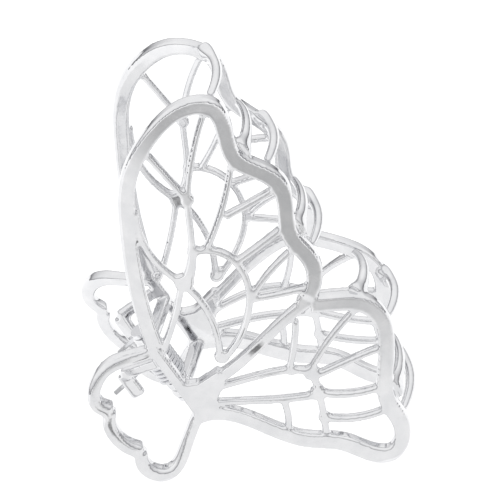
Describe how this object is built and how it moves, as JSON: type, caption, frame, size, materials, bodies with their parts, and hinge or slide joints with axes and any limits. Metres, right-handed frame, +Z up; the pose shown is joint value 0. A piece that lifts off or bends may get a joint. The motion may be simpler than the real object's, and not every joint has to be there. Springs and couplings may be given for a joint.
{
  "type": "hair claw clip",
  "caption": "Butterfly-shaped openwork metal hair claw clip: two winged jaws with interleaving curved teeth, hinged on a sprung pin and opened by squeezing two looped handles.",
  "frame": {"origin": "middle of the clip's footprint, on the surface that it stands on", "axes": "+Z up, the clip standing on the outer lobes of its handles and hindwings; X runs from the handles towards the teeth; Y runs from the front jaw (negative) to the back jaw (positive)"},
  "size_m": [0.0634, 0.0396, 0.0833],
  "materials": {
    "plated_casting": "polished",
    "polished_pin": "polished",
    "spring_steel": "drawn wire"
  },
  "bodies": {
    "back_jaw": {"back_hinge_bar": "plated_casting", "back_forewing": "plated_casting", "back_hindwing": "plated_casting", "back_handle": "plated_casting", "back_teeth": "plated_casting", "hinge_pin": "polished_pin", "torsion_spring": "spring_steel"},
    "front_jaw": {"front_hinge_bar": "plated_casting", "front_forewing": "plated_casting", "front_hindwing": "plated_casting", "front_handle": "plated_casting", "front_teeth": "plated_casting"}
  },
  "joints": [
    {"name": "jaw_hinge", "type": "hinge", "parent": "back_jaw", "child": "front_jaw", "pos_m": [-0.01579, 0, 0.01403], "axis": [0.5039, 0, -0.8637], "range_deg": [0, 60], "stiffness_Nm_per_rad": 0.12, "springref_deg": -34.38, "deforming": ["torsion_spring"]}
  ]
}
